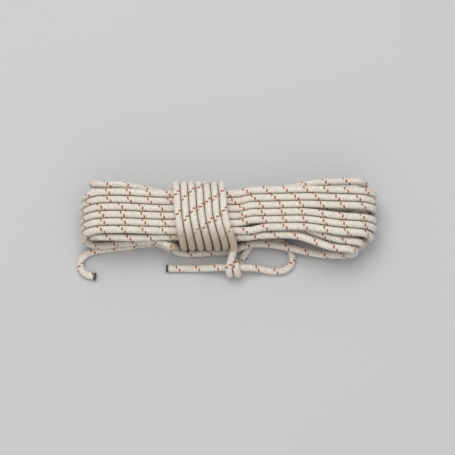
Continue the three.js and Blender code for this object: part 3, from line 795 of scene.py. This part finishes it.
def sheath_finish():
    """Braided sheath: twelve yarns wind each way, each passing over two and under two. Two
    neighbours of the right-handed set are the tracer."""
    s = Shader("sheath")
    place = s.node("ShaderNodeUVMap", {"uv_map": "lay"})
    along_rope = s.node("ShaderNodeSeparateXYZ", None, {0: place})
    round_rope = Wire(s, along_rope.socket.node.outputs[1])
    right = (along_rope - round_rope) * BRAID_YARNS
    left = (along_rope + round_rope) * BRAID_YARNS
    right_yarn, left_yarn = right.floor(), left.floor()
    right_across, left_across = right - right_yarn, left - left_yarn
    right_phase = (left + right_yarn).modulo(2 * YARNS_OVER)
    left_phase = (right + left_yarn).modulo(2 * YARNS_OVER)
    right_on_top = right_phase.below(YARNS_OVER)

    def crown(across, phase):
        """Rounded across the yarn, and highest in the middle of its float."""
        swing = (phase * (np.pi / YARNS_OVER)).sine().math("ABSOLUTE")
        rounded = (1 - (across * 2 - 1).power(2)).power(0.5)
        return rounded * (swing * FLOAT_SWELL + (1 - FLOAT_SWELL))

    relief = right_on_top * crown(right_across, right_phase)
    relief = relief + (1 - right_on_top) * crown(left_across, left_phase)

    is_tracer = right_on_top * right_yarn.modulo(BRAID_YARNS).below(TRACER_YARNS - 0.5)
    beside_tracer = (right_yarn + 1).modulo(BRAID_YARNS).below(TRACER_YARNS + 1.5)
    strand_tone = s.node(
        "ShaderNodeTexWhiteNoise", {"noise_dimensions": "2D"},
        {"Vector": s.node("ShaderNodeCombineXYZ", None, {0: right_yarn, 1: left_yarn})},
    )
    cloud = s.noise(240.0, detail=4.0, roughness=0.7)
    tone = strand_tone * YARN_TONES + cloud * (1 - YARN_TONES)
    fibre = s.colour(tone, IVORY, IVORY_LIGHT)
    fibre = s.colour(s.noise(14.0).power(3) * GRIME, fibre, SOIL_AND_SHADE_BROWN)
    fibre = s.colour(beside_tracer * DYED, fibre, TRACER_DYE)
    fibre = s.colour(is_tracer, fibre, TRACER)
    # painted shade: the deeper the dip between yarns, the nearer the colour comes to the shade brown
    fibre = s.colour((1 - relief).power(2) * BETWEEN_YARNS_SHADE, fibre, PAINTED_SHADE_BROWN)
    # painted shade on the front of the waist turns
    fibre = s.colour(s.attribute("front_shade") * FRONT_SHADE_AMOUNT, fibre, SOIL_AND_SHADE_BROWN)
    # painted shade where stretches of rope touch each other
    fibre = s.colour(s.attribute("contact_shade") * CONTACT_SHADE_AMOUNT, fibre, PAINTED_SHADE_BROWN)
    fuzz = s.noise(2600.0)
    bump = s.bump(relief + fuzz * FUZZ, YARN_RELIEF, strength=0.8)
    roughness = 0.72 + 0.15 * fuzz
    return s.surface(fibre, roughness, bump, Sheen_Weight=0.15, Sheen_Roughness=0.6)


def seal_finish():
    """Melted nylon, dark and satin, a little lumpy."""
    s = Shader("melted_end")
    cloud = s.noise(420.0, detail=3.0)
    bump = s.bump(cloud, distance=0.0003, strength=0.5)
    return s.surface(s.colour(cloud, MELTED, MELTED_LIGHT), 0.35 + 0.25 * cloud, bump)


def core_finish():
    """White twisted core yarn."""
    s = Shader("core_strand")
    cloud = s.noise(700.0, detail=4.0)
    bump = s.bump(cloud, distance=0.0002, strength=0.4)
    return s.surface(s.colour(cloud, CORE_WHITE, CORE_LIGHT), 0.6 + 0.2 * cloud, bump)


def floor_finish():
    """A plain pale floor with the faintest cloudiness."""
    s = Shader("floor")
    cloud = s.noise(3.0)
    return s.surface(s.colour(cloud, FLOOR_GREY, FLOOR_LIGHT), 0.9 + 0.05 * cloud)


# ---------------------------------------------------------------- floor and light

FLOOR_SIZE = 8.0
FLOOR_CELLS = 8  # along each side
FLOOR_DROP = 0.0002  # below what is pressed flat at z = 0
SKY_COLOUR = (0.95, 0.97, 1.0, 1)
SKY_STRENGTH = 0.72


def make_floor():
    """A square of pale floor, as a grid."""
    row = FLOOR_CELLS + 1
    x, y = np.meshgrid(np.linspace(-1, 1, row), np.linspace(-1, 1, row))
    vertices = np.column_stack([x.ravel(), y.ravel(), np.zeros(row * row)]) * (FLOOR_SIZE / 2)
    i, j = np.meshgrid(np.arange(FLOOR_CELLS), np.arange(FLOOR_CELLS), indexing="ij")
    a = (i * row + j).ravel()
    quads = np.column_stack([a, a + 1, a + row + 1, a + row])
    uvs = np.zeros((4 * len(quads), 2))
    floor = mesh_object("floor", vertices, quads.tolist(), uvs, floor_finish())
    floor.location.z = -FLOOR_DROP


def add_light(name, place, size, watts, colour):
    """A square area light that shines at the hank."""
    light = bpy.data.lights.new(name, "AREA")
    light.shape, light.size, light.energy, light.color = "SQUARE", size, watts, colour
    lamp = bpy.data.objects.new(name, light)
    lamp.location = place
    lamp.rotation_euler = (-Vector(place)).to_track_quat("-Z", "Y").to_euler()
    bpy.context.scene.collection.objects.link(lamp)


def make_light():
    """Soft light from above and a little behind, a weak fill in front and an even pale sky."""
    add_light("key", (-0.3, 0.7, 2.35), size=1.6, watts=34.5, colour=(1.0, 0.985, 0.965))
    add_light("fill", (0.3, -1.8, 1.3), size=2.0, watts=7.0, colour=(1.0, 0.98, 0.95))
    world = bpy.data.worlds.new("sky")
    bpy.context.scene.world = world
    world.use_nodes = True
    background = world.node_tree.nodes["Background"]
    background.inputs["Color"].default_value = SKY_COLOUR
    background.inputs["Strength"].default_value = SKY_STRENGTH
    bpy.context.scene.view_settings.view_transform = "Standard"


# ---------------------------------------------------------------- the scene

place_camera()
line = rope_line()
rope = rope_mesh(line, lay_shifts(line), sheath_finish())
melted = seal_finish()
outward = line[0] - line[1]
start_seal = seal_mesh("start_cap", line[0] - SEAL_SINK * outward, outward, melted)
finish_seal = seal_mesh("finish_cap", line[-1], line[-1] - line[-2], melted)

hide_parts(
    "hank_loops", "waist_wraps", "hitch_turns", "starting_end", "lead_to_wraps",
    "tie_off", "slack_bight", "finishing_end",
)
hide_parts("start_seal")
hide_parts("finish_seal")
for piece, slot in ((rope, "sheath"), (start_seal, "seal"), (finish_seal, "seal")):
    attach(piece, "root")

core = core_finish()
for name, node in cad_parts.items():
    if name.startswith("core_strand"):
        node.data.materials.clear()
        node.data.materials.append(core)

make_floor()
make_light()
